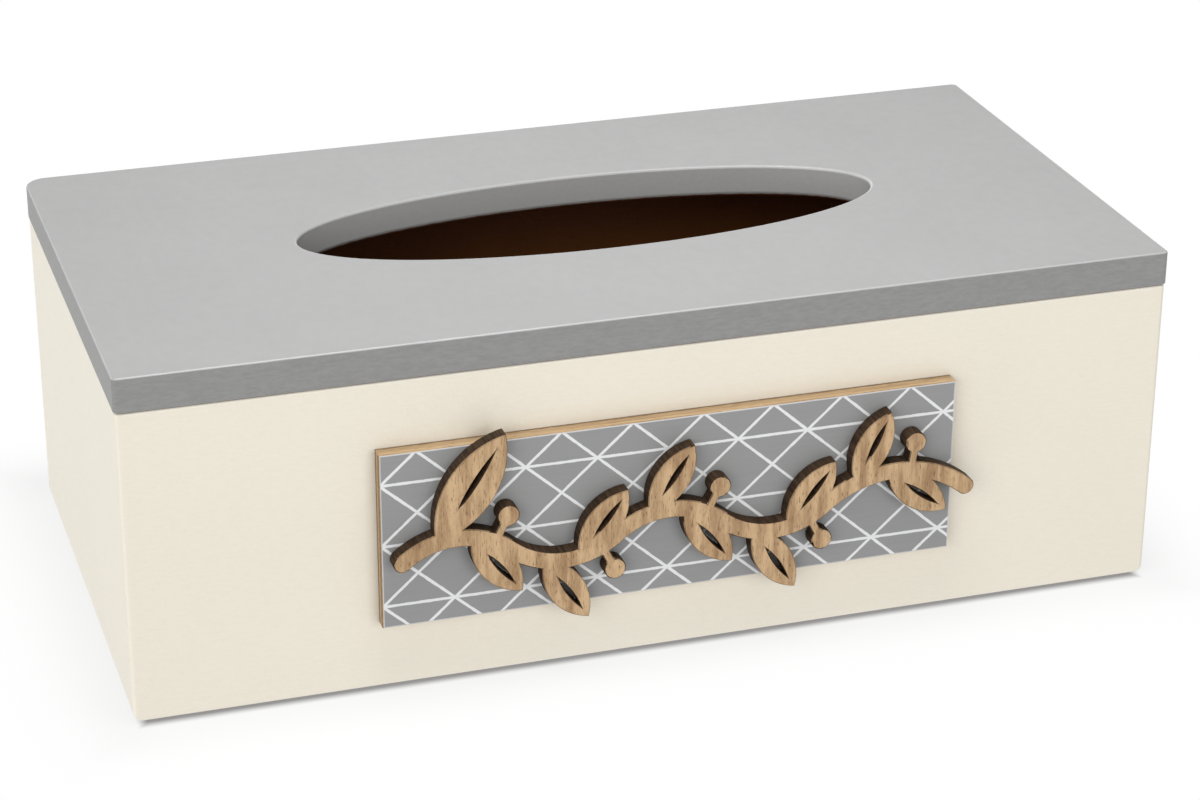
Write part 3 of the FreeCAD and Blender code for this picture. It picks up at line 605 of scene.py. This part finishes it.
# %% Plywood: masks
CORE_HALF = 0.17
GLUE_HALF = 0.04
SAW_REACH = (3.0, 0.5, 3.0)
WALL_LINE = 0.8
WALL_LINE_FADE = 0.3
WALL_LINE_WANDER = 1.6

board_low, board_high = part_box("plaque_board")
board_middle = (board_low.y + board_high.y) / (2 * MM)
board_depth = (board_high.y - board_low.y) / MM

plaque_plywood, tree, inputs = new_finish("plaque_plywood", IOR=WOOD_IOR)
point = point_mm(tree)
y = split(tree, point, "Y")[0]
in_depths = calc(tree, "DIVIDE", calc(tree, "SUBTRACT", y, board_middle), board_depth)
off_middle = calc(tree, "ABSOLUTE", in_depths)
core = fade(tree, off_middle, CORE_HALF + GLUE_HALF, CORE_HALF - GLUE_HALF)
glue = fade(tree, calc(tree, "ABSOLUTE", calc(tree, "SUBTRACT", off_middle, CORE_HALF)), GLUE_HALF, 0.0)
side_edge = fade(tree, calc(tree, "ABSOLUTE", facing(tree, "X")), 0.5, 0.8)
ends_here = calc(tree, "ABSOLUTE", calc(tree, "SUBTRACT", core, side_edge))
saw = noise(tree, point, SAW_REACH, detail=4.0, roughness=0.65)
wander = calc(tree, "MULTIPLY_ADD", saw, WALL_LINE_WANDER, -WALL_LINE_WANDER / 2)
from_wall = calc(tree, "ADD", calc(tree, "SUBTRACT", board_high.y / MM, y), wander)
wall_line = fade(tree, from_wall, WALL_LINE + WALL_LINE_FADE, WALL_LINE - WALL_LINE_FADE)
print("board:", round(board_depth, 2), "mm thick")

# %% [markdown]
# ## Plywood
#
# The board's grain runs along the box, so the fibres of the shared wood group reach far in X. The saw has
# torn the ends of the fibres here and there, which a noise across the plies stands for. Clean stripes
# would be easier, but they look printed.

# %% Finish: plaque_plywood
PLY_LIGHT = (0.540, 0.385, 0.215, 1)
PLY_DARK = (0.370, 0.240, 0.120, 1)
PLY_PORE = (0.200, 0.120, 0.062, 1)
END_GRAIN = (0.170, 0.100, 0.055, 1)
GLUE_AND_SHADE = (0.110, 0.064, 0.034, 1)
PLY_FIBRE_REACH = (22, 0.35, 0.9)
PLY_PORE_REACH = (5, 0.25, 0.3)
TOP_END_TONE, SIDE_END_TONE = 0.2, 0.7
GLUE_TONE, WALL_LINE_TONE = 0.7, 0.8
PLY_ROUGHNESS, PORE_ROUGHNESS = 0.62, 0.15
WOOD_BUMP = 0.06

wood = place_group(tree, wood_grain, {
    "Point": point, "Fibre reach": PLY_FIBRE_REACH, "Pore reach": PLY_PORE_REACH,
    "Light": PLY_LIGHT, "Dark": PLY_DARK, "Pore": PLY_PORE,
})
torn = calc(tree, "ADD", saw, 0.5)
end_tone = calc(tree, "MULTIPLY", weigh(tree, side_edge, TOP_END_TONE, SIDE_END_TONE), torn)
plies = blend(tree, calc(tree, "MULTIPLY", ends_here, end_tone), wood["Colour"], END_GRAIN)
glue_tone = calc(tree, "MULTIPLY", glue, calc(tree, "MULTIPLY", saw, GLUE_TONE))
glued = blend(tree, glue_tone, plies, GLUE_AND_SHADE)
# Painted shade: a dark line along the back edge, where the board meets the wall; it uses the glue colour.
line_tone = calc(tree, "MULTIPLY", wall_line, WALL_LINE_TONE)
plug(tree, inputs["Base Color"], blend(tree, line_tone, glued, GLUE_AND_SHADE))
plug(tree, inputs["Roughness"], calc(tree, "MULTIPLY_ADD", wood["Height"], PORE_ROUGHNESS, PLY_ROUGHNESS))
plug(tree, inputs["Normal"], bump(tree, wood["Height"], WOOD_BUMP))
dress(plaque_plywood, "plaque_board")

# %% [markdown]
# ## Lines of the printed sheet
#
# The plaque's face is a grey sheet with white lines that form a lattice of triangles: two slanted
# families and one level family that meet at the same crossings. Lines could be drawn as thin strips of
# mesh, but print has no height. Ping-pong in a Math node folds the plane at every line, so the distance
# to the nearest line of each family is one node, and the smallest of the three draws the lattice.

# %% Lattice: lines
CROSSING_X, CROSSING_Z = -1.5, -1.0
HALF_PITCH_X, HALF_PITCH_Z = 8.79, 7.87
LINE_WIDTH, LINE_SOFTNESS = 0.70, 0.16
WOBBLE_REACH = (1.6, 1.6, 1.6)
WOBBLE = 0.3

sheet_middle, sheet_half = box_mm("plaque_face_sheet")
slant_gap = HALF_PITCH_X * HALF_PITCH_Z / math.hypot(HALF_PITCH_X, HALF_PITCH_Z)

lattice_print, tree, inputs = new_finish("lattice_print", IOR=WOOD_IOR)
point = point_mm(tree)
x, z = split(tree, point, "XZ")
across = calc(tree, "DIVIDE", calc(tree, "SUBTRACT", x, sheet_middle[0] + CROSSING_X), HALF_PITCH_X)
up = calc(tree, "DIVIDE", calc(tree, "SUBTRACT", z, sheet_middle[2] + CROSSING_Z), HALF_PITCH_Z)
families = (
    (calc(tree, "ADD", across, up), slant_gap),
    (calc(tree, "SUBTRACT", across, up), slant_gap),
    (up, HALF_PITCH_Z),
)
gaps = [calc(tree, "MULTIPLY", calc(tree, "PINGPONG", value, 1.0), gap) for value, gap in families]
nearest = calc(tree, "MINIMUM", calc(tree, "MINIMUM", gaps[0], gaps[1]), gaps[2])
wobble = calc(tree, "MULTIPLY_ADD", noise(tree, point, WOBBLE_REACH), WOBBLE, -WOBBLE / 2)
ragged = calc(tree, "ADD", nearest, wobble)
line = fade(tree, ragged, (LINE_WIDTH + LINE_SOFTNESS) / 2, (LINE_WIDTH - LINE_SOFTNESS) / 2)
print("lines every", round(2 * slant_gap, 2), "mm slanted and", round(2 * HALF_PITCH_Z, 2), "mm level")

# %% [markdown]
# ## The printed sheet
#
# The print is matt grey with faint streaks along the sheet, and its white ink is thin, so that the grey
# shows through in fine dots. Where the sheet was cut its paler core shows, which is the shared edge group
# again with a very narrow width. A photograph of a print would do for one size, but this follows any
# sheet.

# %% Finish: lattice_print
PRINT_GREY = (0.290, 0.292, 0.290, 1)
PRINT_GREY_DEEP = (0.258, 0.260, 0.258, 1)
PRINT_WHITE = (0.800, 0.805, 0.805, 1)
SHEET_CORE = (0.620, 0.620, 0.640, 1)
PRINT_STREAK_REACH = (16, 16, 0.5)
INK_COVER, INK_DOTS = 0.80, 0.25
CUT_EDGE_WIDTH = 0.32
PRINT_ROUGHNESS, INK_SHINE = 0.60, -0.08
PRINT_BUMP = 0.015

film = place_group(tree, paint_film, {"Point": point, "Stroke reach": PRINT_STREAK_REACH})
ground = blend(tree, film["Stroke"], PRINT_GREY, PRINT_GREY_DEEP)
ink = calc(tree, "MULTIPLY", line, calc(tree, "MULTIPLY_ADD", film["Stipple"], INK_DOTS, INK_COVER))
printed = blend(tree, ink, ground, PRINT_WHITE)
edges = place_group(tree, edge_band, {
    "Point": point, "Middle": sheet_middle, "Half size": sheet_half, "Width": CUT_EDGE_WIDTH,
})
plug(tree, inputs["Base Color"], blend(tree, edges["Edge share"], printed, SHEET_CORE))
plug(tree, inputs["Roughness"], calc(tree, "MULTIPLY_ADD", line, INK_SHINE, PRINT_ROUGHNESS))
plug(tree, inputs["Normal"], bump(tree, calc(tree, "ADD", film["Stroke"], line), PRINT_BUMP))
dress(lattice_print, "plaque_face_sheet")

# %% [markdown]
# ## The leaf sprig
#
# The sprig was cut by a laser from thin oak plywood. Its face is tan with upright grain and dark pores,
# and its sides are scorched nearly black, a little paler where the beam paused. Face and sides could be
# two materials, but the direction of the surface tells them apart exactly, so one tree holds both.

# %% Finish: scorched_oak
OAK_LIGHT = (0.600, 0.415, 0.240, 1)
OAK_DARK = (0.340, 0.208, 0.109, 1)
OAK_PORE = (0.130, 0.074, 0.036, 1)
SCORCH = (0.016, 0.008, 0.003, 1)
SCORCH_PALE = (0.064, 0.038, 0.022, 1)
OAK_FIBRE_REACH = (2.4, 2.4, 16)
OAK_PORE_REACH = (0.30, 0.30, 2.2)
BEAM_REACH = (0.7, 9, 0.7)
SPRIG_SPECULAR = 0.15
SCORCH_ROUGHNESS, FACE_SHINE = 0.78, -0.2

scorched_oak, tree, inputs = new_finish("scorched_oak", IOR=WOOD_IOR, Specular_IOR_Level=SPRIG_SPECULAR)
point = point_mm(tree)
wood = place_group(tree, wood_grain, {
    "Point": point, "Fibre reach": OAK_FIBRE_REACH, "Pore reach": OAK_PORE_REACH,
    "Light": OAK_LIGHT, "Dark": OAK_DARK, "Pore": OAK_PORE,
})
beam = noise(tree, point, BEAM_REACH)
scorched = blend(tree, fade(tree, beam, 0.25, 0.80), SCORCH, SCORCH_PALE)
face = fade(tree, facing(tree, "Y"), -0.55, -0.85)
plug(tree, inputs["Base Color"], blend(tree, face, scorched, wood["Colour"]))
plug(tree, inputs["Roughness"], calc(tree, "MULTIPLY_ADD", face, FACE_SHINE, SCORCH_ROUGHNESS))
plug(tree, inputs["Normal"], bump(tree, calc(tree, "MULTIPLY_ADD", wood["Height"], face, beam), WOOD_BUMP))
dress(scorched_oak, "leaf_sprig")

# %% [markdown]
# ## The burnt rim
#
# The beam also burns a narrow rim into the sprig's face. A darker line in the material would need the
# distance to the outline, which no node knows for such a shape. A narrow bevel gives faces that look
# aslant, and those the finish already takes for scorched sides. The facets of the CAD mesh are separate,
# so a Weld modifier joins them first, and the mesh itself stays as it is.

# %% Burnt rim
BURNT_RIM = 0.25
JOIN_WITHIN = 0.01
SHARPER_THAN = 60

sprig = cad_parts["leaf_sprig"]
joined = sprig.modifiers.new("join_facets", "WELD")
joined.merge_threshold = JOIN_WITHIN * MM
burnt_rim = sprig.modifiers.new("burnt_rim", "BEVEL")
burnt_rim.width = BURNT_RIM * MM
burnt_rim.segments = 1
burnt_rim.limit_method = "ANGLE"
burnt_rim.angle_limit = math.radians(SHARPER_THAN)
burnt_rim.use_clamp_overlap = False
print("modifiers on the sprig:", [modifier.name for modifier in sprig.modifiers])

# %% [markdown]
# ## Hinges, screws and brads
#
# The hinges and their screws are brass, the brads steel. Metal takes its colour from what it reflects, so
# a plain colour looks dead: rolled sheet has fine lines along its length, and brass grows brown in
# patches. One function draws both metals, because they differ only in colours and in how far they have
# tarnished.

# %% Finish: brass and steel
BRASS, BRASS_BROWN = (0.80, 0.58, 0.26, 1), (0.34, 0.20, 0.08, 1)
SCREW, SCREW_BROWN = (0.82, 0.61, 0.30, 1), (0.36, 0.22, 0.10, 1)
STEEL, STEEL_BROWN = (0.58, 0.58, 0.59, 1), (0.26, 0.22, 0.19, 1)
ROLLING_REACH = (12, 0.12, 0.12)
TARNISH_REACH = (5, 5, 5)
ROLLING_ROUGHNESS = 0.2
ROLLING_BUMP = 0.004


def rolled_metal(name, bright, tarnished, tarnish_share, roughness):
    """A metal with fine rolling lines along X and soft patches of tarnish."""
    material, tree, inputs = new_finish(name, Metallic=1.0)
    point = point_mm(tree)
    film = place_group(tree, paint_film, {"Point": point, "Stroke reach": ROLLING_REACH})
    patches = fade(tree, noise(tree, point, TARNISH_REACH, detail=4.0), 0.4, 0.75)
    share = calc(tree, "MULTIPLY", patches, tarnish_share)
    plug(tree, inputs["Base Color"], blend(tree, share, bright, tarnished))
    rolled = calc(tree, "MULTIPLY_ADD", film["Stroke"], ROLLING_ROUGHNESS, roughness)
    plug(tree, inputs["Roughness"], rolled)
    plug(tree, inputs["Normal"], bump(tree, film["Stroke"], ROLLING_BUMP))
    return material


worn_hinge_brass = rolled_metal("worn_hinge_brass", BRASS, BRASS_BROWN, tarnish_share=0.8, roughness=0.22)
worn_screw_brass = rolled_metal("worn_screw_brass", SCREW, SCREW_BROWN, tarnish_share=0.6, roughness=0.18)
worn_brad_steel = rolled_metal("worn_brad_steel", STEEL, STEEL_BROWN, tarnish_share=0.7, roughness=0.28)
for side in ("left", "right"):
    dress(worn_hinge_brass, *[f"{side}_hinge_{part}" for part in ("lid_leaf", "box_leaf", "pin")])
dress(worn_screw_brass, "lid_leaf_screws", "box_leaf_screws")
dress(worn_brad_steel, "corner_brads", "base_brads")

# %% [markdown]
# ## The floor
#
# The box stands on a white sweep. A curved backdrop could be modelled, but nothing of its curve would
# show, so a large plane is enough. It lies a hair below the base, so that the two faces don't flicker.

# %% Floor
FLOOR_HALF = 4.0
FLOOR_GAP = 0.02

signs = ((-1, -1), (1, -1), (1, 1), (-1, 1))
corners = [(x_sign * FLOOR_HALF, y_sign * FLOOR_HALF, 0) for x_sign, y_sign in signs]
floor_mesh = bpy.data.meshes.new("floor")
floor_mesh.from_pydata(corners, [], [(0, 1, 2, 3)])
floor = bpy.data.objects.new("floor", floor_mesh)
bpy.context.scene.collection.objects.link(floor)
floor.location.z = -FLOOR_GAP * MM
floor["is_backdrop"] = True
print("floor:", 2 * FLOOR_HALF, "m square")

# %% [markdown]
# ## White sweep
#
# A white plane under strong light would do for the floor, but then the walls would be overlit too.
# Instead it shows itself to the camera mostly as plain white and only partly as a lit surface, so that
# the soft shadow of the box stays and everything else goes to white. The white is dimmed a little towards
# the box and a lot under it, a painted shadow that makes the thin dark line below the front wall. The
# light that the floor throws back at the walls is an even, duller white. Seen from below it is clear, so
# that the underside of the box can be looked at.

# %% Finish: white_sweep
WHITE = (1, 1, 1, 1)
FLOOR_WHITE = (0.78, 0.78, 0.78, 1)
FLOOR_BOUNCE = (0.81, 0.81, 0.81, 1)
FOOT_ROUNDING = 3.0
UNDER_BOX, CLEAR_OF_BOX = -0.6, 2.6
UNDER_GLOW = 0.32
CONTACT_START, CONTACT_END = 2.0, 20.0
CONTACT_GLOW = 0.965
SHADOW_START, SHADOW_END = 0, 36
SHADOW_SHARE = 0.16


def looked_at(tree):
    """1 where the camera, a reflection or glass looks at a surface, and 0 where it only gives light."""
    rays = add(tree, "ShaderNodeLightPath").outputs
    seen_in = calc(tree, "MAXIMUM", rays["Is Glossy Ray"], rays["Is Transmission Ray"])
    return calc(tree, "MAXIMUM", rays["Is Camera Ray"], seen_in)


def mix_shaders(tree, share, first, second):
    """The first shader where share is 0, the second where it is 1."""
    mixed = add(tree, "ShaderNodeMixShader", Fac=share)
    tree.links.new(first.outputs[0], mixed.inputs[1])
    tree.links.new(second.outputs[0], mixed.inputs[2])
    return mixed


white_sweep = bpy.data.materials.new("white_sweep")
white_sweep.use_nodes = True
tree = white_sweep.node_tree
tree.nodes.clear()
past_box = past_sides(tree, point_mm(tree), (box_half[0] - FOOT_ROUNDING, box_half[1]))
# Painted shadow: the white is dimmed a little towards the box and a lot under it.
open_floor = weigh(tree, fade(tree, past_box, UNDER_BOX, CLEAR_OF_BOX), UNDER_GLOW, 1.0)
contact = weigh(tree, fade(tree, past_box, CONTACT_END, CONTACT_START), 1.0, CONTACT_GLOW)
glow = add(tree, "ShaderNodeEmission", Color=WHITE, Strength=calc(tree, "MULTIPLY", open_floor, contact))
lit = add(tree, "ShaderNodeBsdfDiffuse", Color=FLOOR_WHITE)
lit_share = calc(tree, "MULTIPLY", fade(tree, past_box, SHADOW_END, SHADOW_START), SHADOW_SHARE)
bounce = add(tree, "ShaderNodeEmission", Color=FLOOR_BOUNCE, Strength=1.0)
upper_side = mix_shaders(tree, looked_at(tree), bounce, mix_shaders(tree, lit_share, glow, lit))
from_below = add(tree, "ShaderNodeNewGeometry").outputs["Backfacing"]
floor_shader = mix_shaders(tree, from_below, upper_side, add(tree, "ShaderNodeBsdfTransparent"))
surface = add(tree, "ShaderNodeOutputMaterial")
tree.links.new(floor_shader.outputs[0], surface.inputs["Surface"])
floor_mesh.materials.append(white_sweep)
print("white_sweep:", len(tree.nodes), "nodes")

# %% [markdown]
# ## The white room
#
# The photograph was taken in a white room. A picture of a studio could light the scene, but an even white
# is all that this box shows of it. The world is white where the camera or a reflection looks at it, and a
# weaker fill where it lights the object.

# %% World
ROOM_FILL = 0.30

world = bpy.data.worlds.new("white_room")
world.use_nodes = True
bpy.context.scene.world = world
tree = world.node_tree
tree.nodes.clear()
room_light = weigh(tree, looked_at(tree), ROOM_FILL, 1.0)
room = add(tree, "ShaderNodeBackground", Color=WHITE, Strength=room_light)
surface = add(tree, "ShaderNodeOutputWorld")
tree.links.new(room.outputs[0], surface.inputs["Surface"])
print("room fill:", ROOM_FILL)

# %% [markdown]
# ## Soft light
#
# Soft shadows come from large lamps, so area lamps stand for the softboxes. A sun lamp would be simpler,
# but its shadows would be hard. The large one at the left front gives the soft shadows beside the plaque,
# two weaker ones lift the left end and the front, and a small one close above brightens the middle of the
# lid.

# %% Lamps
LAMP_AIM = (0, 0, 0.05)


def softbox(name, place, size, watts):
    """A square area lamp at a place, turned towards the box."""
    lamp = bpy.data.lights.new(name, "AREA")
    lamp.shape = "SQUARE"
    lamp.size = size
    lamp.energy = watts
    holder = bpy.data.objects.new(name, lamp)
    holder.location = place
    holder.rotation_euler = (Vector(LAMP_AIM) - Vector(place)).to_track_quat("-Z", "Y").to_euler()
    bpy.context.scene.collection.objects.link(holder)
    print(name, size, "m wide,", watts, "W")


softbox("softbox_overhead", (-0.01, -0.085, 0.50), size=0.25, watts=1.72)
softbox("softbox_left_front", (-1.6, -1.9, 0.95), size=1.5, watts=21.5)
softbox("softbox_left", (-2.2, 0.2, 0.8), size=1.2, watts=15.0)
softbox("softbox_front", (0.7, -2.0, 0.5), size=1.2, watts=11.4)

# %% [markdown]
# ## The camera
#
# The camera stands where the photograph's did: its place, aim, lens and slight roll were worked out from
# the box's edges in the picture. One could also match by eye, but eleven straight edges fix it to a few
# pixels.

# %% Camera
PICTURE_WIDTH = 1200
FOCAL_PIXELS = 3242
SENSOR_WIDTH = 36.0
NEAREST_SHOWN = 0.01
CAMERA_PLACE = Vector((-0.2261, -0.7253, 0.3834))
CAMERA_AIM = Vector((0.0051, 0.0, 0.0367))
CAMERA_ROLL = math.radians(0.23)

lens = bpy.data.cameras.new("camera")
lens.sensor_width = SENSOR_WIDTH
lens.lens = FOCAL_PIXELS / PICTURE_WIDTH * SENSOR_WIDTH
lens.clip_start = NEAREST_SHOWN
camera = bpy.data.objects.new("camera", lens)
camera.location = CAMERA_PLACE
sight = CAMERA_AIM - CAMERA_PLACE
level = sight.to_track_quat("-Z", "Y")
camera.rotation_euler = (level @ Quaternion((0, 0, 1), CAMERA_ROLL)).to_euler()
bpy.context.scene.collection.objects.link(camera)
bpy.context.scene.camera = camera
bpy.context.scene.view_settings.view_transform = "Standard"
print("lens:", round(lens.lens, 1), "mm, distance:", round(sight.length, 3), "m")

# %% [markdown]
# ## The size of what is shown
#
# The looks must not change the object's size, so the box of what is shown is printed, to set beside the
# CAD box printed at the start.

# %% Size of what is shown
shown_low, shown_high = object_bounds()
print("shown:", tenths((shown_high - shown_low) / MM), "mm")
